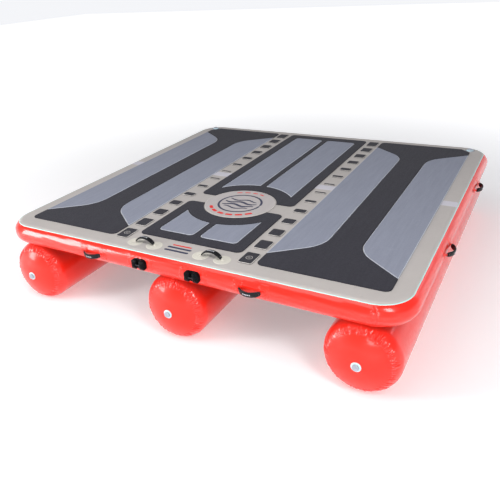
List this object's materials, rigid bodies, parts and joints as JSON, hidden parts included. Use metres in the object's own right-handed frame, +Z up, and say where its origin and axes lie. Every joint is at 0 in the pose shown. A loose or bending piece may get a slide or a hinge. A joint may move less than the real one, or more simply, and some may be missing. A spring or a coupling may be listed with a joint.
{
  "type": "inflatable swim platform",
  "caption": "Square inflatable drop-stitch deck with foam pads, grab handles, push-button valves and tow fittings, carried by three tubular pontoons.",
  "frame": {"origin": "on the ground under the middle of the deck, where the pontoons touch it", "axes": "+X to the right and +Y to the rear along the pontoons, seen from the end with the top handles; +Z up"},
  "size_m": [3.1518, 3.1518, 0.6625],
  "materials": {
    "deck_top": "satin",
    "deck_bottom": "satin",
    "red_pvc": "gloss",
    "thread": "matte",
    "trim": "satin",
    "tape": "satin",
    "foam_dark": "matte",
    "foam_grey": "matte",
    "foam_strip": "matte",
    "foam_emblem": "matte",
    "patch_grey": "satin",
    "patch_cream": "satin",
    "valve_white": "satin",
    "valve_nut": "satin",
    "valve_tether": "satin",
    "valve_button": "satin",
    "valve_cap": "satin",
    "spring_steel": "satin",
    "pin_steel": "polished",
    "webbing": "matte",
    "grip": "matte",
    "fitting_rubber": "satin"
  },
  "bodies": {
    "platform": {"deck_top_sheet_front": "deck_top", "deck_top_sheet_rear": "deck_top", "deck_bottom_sheet": "deck_bottom", "deck_sidewall": "red_pvc", "sidewall_joint_tape": "red_pvc", "drop_stitch_threads": "thread", "edge_trim": "trim", "mid_seam_tape": "tape", "side_pad_left": "foam_dark", "side_pad_right": "foam_dark", "side_inserts": "foam_grey", "center_pad_rear": "foam_dark", "center_pad_front": "foam_dark", "center_inserts": "foam_grey", "strip_pads": "foam_strip", "emblem_disc": "foam_emblem", "pontoon_left_skin": "red_pvc", "pontoon_middle_skin": "red_pvc", "pontoon_right_skin": "red_pvc", "pontoon_end_panels": "red_pvc", "pontoon_seam_bands": "red_pvc", "pontoon_saddle_strips": "red_pvc", "deck_valve_patches": "patch_grey", "valve_bodies": "valve_white", "valve_backing_nuts": "valve_nut", "valve_tethers": "valve_tether", "pontoon_left_valve_spring": "spring_steel", "pontoon_middle_valve_spring": "spring_steel", "pontoon_right_valve_spring": "spring_steel", "deck_left_valve_spring": "spring_steel", "deck_right_valve_spring": "spring_steel", "top_handle_patches": "patch_cream", "top_handle_anchors": "patch_cream", "side_handle_patches": "red_pvc", "side_handle_anchors": "red_pvc", "tow_fitting_patches": "red_pvc", "tow_fittings": "fitting_rubber", "tow_fitting_pins": "pin_steel"},
    "pontoon_left_valve_poppet": {"pontoon_left_valve_poppet": "valve_button"},
    "pontoon_left_valve_cap": {"pontoon_left_valve_cap": "valve_cap"},
    "pontoon_middle_valve_poppet": {"pontoon_middle_valve_poppet": "valve_button"},
    "pontoon_middle_valve_cap": {"pontoon_middle_valve_cap": "valve_cap"},
    "pontoon_right_valve_poppet": {"pontoon_right_valve_poppet": "valve_button"},
    "pontoon_right_valve_cap": {"pontoon_right_valve_cap": "valve_cap"},
    "deck_left_valve_poppet": {"deck_left_valve_poppet": "valve_button"},
    "deck_left_valve_cap": {"deck_left_valve_cap": "valve_cap"},
    "deck_right_valve_poppet": {"deck_right_valve_poppet": "valve_button"},
    "deck_right_valve_cap": {"deck_right_valve_cap": "valve_cap"},
    "top_handle_left": {"top_handle_left_webbing": "webbing", "top_handle_left_grip": "grip"},
    "top_handle_right": {"top_handle_right_webbing": "webbing", "top_handle_right_grip": "grip"},
    "side_handle_front_left": {"side_handle_front_left": "webbing"},
    "side_handle_front_right": {"side_handle_front_right": "webbing"},
    "side_handle_rear_left": {"side_handle_rear_left": "webbing"},
    "side_handle_rear_right": {"side_handle_rear_right": "webbing"},
    "side_handle_left_front": {"side_handle_left_front": "webbing"},
    "side_handle_left_rear": {"side_handle_left_rear": "webbing"},
    "side_handle_right_front": {"side_handle_right_front": "webbing"},
    "side_handle_right_rear": {"side_handle_right_rear": "webbing"}
  },
  "joints": [
    {"name": "pontoon_left_valve_press", "type": "slide", "parent": "platform", "child": "pontoon_left_valve_poppet", "axis": [0, 1, 0], "range_m": [0, 0.005], "stiffness_N_per_m": 400, "springref_m": -0.004, "deforming": ["pontoon_left_valve_spring"]},
    {"name": "pontoon_left_valve_cap_open", "type": "hinge", "parent": "platform", "child": "pontoon_left_valve_cap", "pos_m": [-1.26963, -1.55679, 0.20911], "axis": [0.8192, 0, -0.5736], "range_deg": [0, 145]},
    {"name": "pontoon_middle_valve_press", "type": "slide", "parent": "platform", "child": "pontoon_middle_valve_poppet", "axis": [0, 1, 0], "range_m": [0, 0.005], "stiffness_N_per_m": 400, "springref_m": -0.004, "deforming": ["pontoon_middle_valve_spring"]},
    {"name": "pontoon_middle_valve_cap_open", "type": "hinge", "parent": "platform", "child": "pontoon_middle_valve_cap", "pos_m": [-0.01463, -1.55679, 0.20911], "axis": [0.8192, 0, -0.5736], "range_deg": [0, 145]},
    {"name": "pontoon_right_valve_press", "type": "slide", "parent": "platform", "child": "pontoon_right_valve_poppet", "axis": [0, 1, 0], "range_m": [0, 0.005], "stiffness_N_per_m": 400, "springref_m": -0.004, "deforming": ["pontoon_right_valve_spring"]},
    {"name": "pontoon_right_valve_cap_open", "type": "hinge", "parent": "platform", "child": "pontoon_right_valve_cap", "pos_m": [1.24037, -1.55679, 0.20911], "axis": [0.8192, 0, -0.5736], "range_deg": [0, 145]},
    {"name": "deck_left_valve_press", "type": "slide", "parent": "platform", "child": "deck_left_valve_poppet", "axis": [0, 0, -1], "range_m": [0, 0.005], "stiffness_N_per_m": 400, "springref_m": -0.004, "deforming": ["deck_left_valve_spring"]},
    {"name": "deck_left_valve_cap_open", "type": "hinge", "parent": "platform", "child": "deck_left_valve_cap", "pos_m": [-1.37603, 1.39803, 0.6207], "axis": [-0.7071, -0.7071, 0], "range_deg": [0, 145]},
    {"name": "deck_right_valve_press", "type": "slide", "parent": "platform", "child": "deck_right_valve_poppet", "axis": [0, 0, -1], "range_m": [0, 0.005], "stiffness_N_per_m": 400, "springref_m": -0.004, "deforming": ["deck_right_valve_spring"]},
    {"name": "deck_right_valve_cap_open", "type": "hinge", "parent": "platform", "child": "deck_right_valve_cap", "pos_m": [1.37603, 1.39803, 0.6207], "axis": [-0.7071, 0.7071, 0], "range_deg": [0, 145]},
    {"name": "top_handle_left_swing", "type": "hinge", "parent": "platform", "child": "top_handle_left", "pos_m": [-0.26, -1.378, 0.621], "axis": [1, 0, 0], "range_deg": [-30, 30], "stiffness_Nm_per_rad": 0.4},
    {"name": "top_handle_right_swing", "type": "hinge", "parent": "platform", "child": "top_handle_right", "pos_m": [0.26, -1.378, 0.621], "axis": [1, 0, 0], "range_deg": [-30, 30], "stiffness_Nm_per_rad": 0.4},
    {"name": "side_handle_front_left_lift", "type": "hinge", "parent": "platform", "child": "side_handle_front_left", "pos_m": [-0.605, -1.533, 0.542], "axis": [-1, 0, 0], "range_deg": [-22, 38], "stiffness_Nm_per_rad": 1.5},
    {"name": "side_handle_front_right_lift", "type": "hinge", "parent": "platform", "child": "side_handle_front_right", "pos_m": [0.605, -1.533, 0.542], "axis": [-1, 0, 0], "range_deg": [-22, 38], "stiffness_Nm_per_rad": 1.5},
    {"name": "side_handle_rear_left_lift", "type": "hinge", "parent": "platform", "child": "side_handle_rear_left", "pos_m": [-0.605, 1.533, 0.542], "axis": [1, 0, 0], "range_deg": [-22, 38], "stiffness_Nm_per_rad": 1.5},
    {"name": "side_handle_rear_right_lift", "type": "hinge", "parent": "platform", "child": "side_handle_rear_right", "pos_m": [0.605, 1.533, 0.542], "axis": [1, 0, 0], "range_deg": [-22, 38], "stiffness_Nm_per_rad": 1.5},
    {"name": "side_handle_left_front_lift", "type": "hinge", "parent": "platform", "child": "side_handle_left_front", "pos_m": [-1.533, -0.57, 0.542], "axis": [0, 1, 0], "range_deg": [-22, 38], "stiffness_Nm_per_rad": 1.5},
    {"name": "side_handle_left_rear_lift", "type": "hinge", "parent": "platform", "child": "side_handle_left_rear", "pos_m": [-1.533, 0.64, 0.542], "axis": [0, 1, 0], "range_deg": [-22, 38], "stiffness_Nm_per_rad": 1.5},
    {"name": "side_handle_right_front_lift", "type": "hinge", "parent": "platform", "child": "side_handle_right_front", "pos_m": [1.533, -0.57, 0.542], "axis": [0, -1, 0], "range_deg": [-22, 38], "stiffness_Nm_per_rad": 1.5},
    {"name": "side_handle_right_rear_lift", "type": "hinge", "parent": "platform", "child": "side_handle_right_rear", "pos_m": [1.533, 0.64, 0.542], "axis": [0, -1, 0], "range_deg": [-22, 38], "stiffness_Nm_per_rad": 1.5}
  ]
}
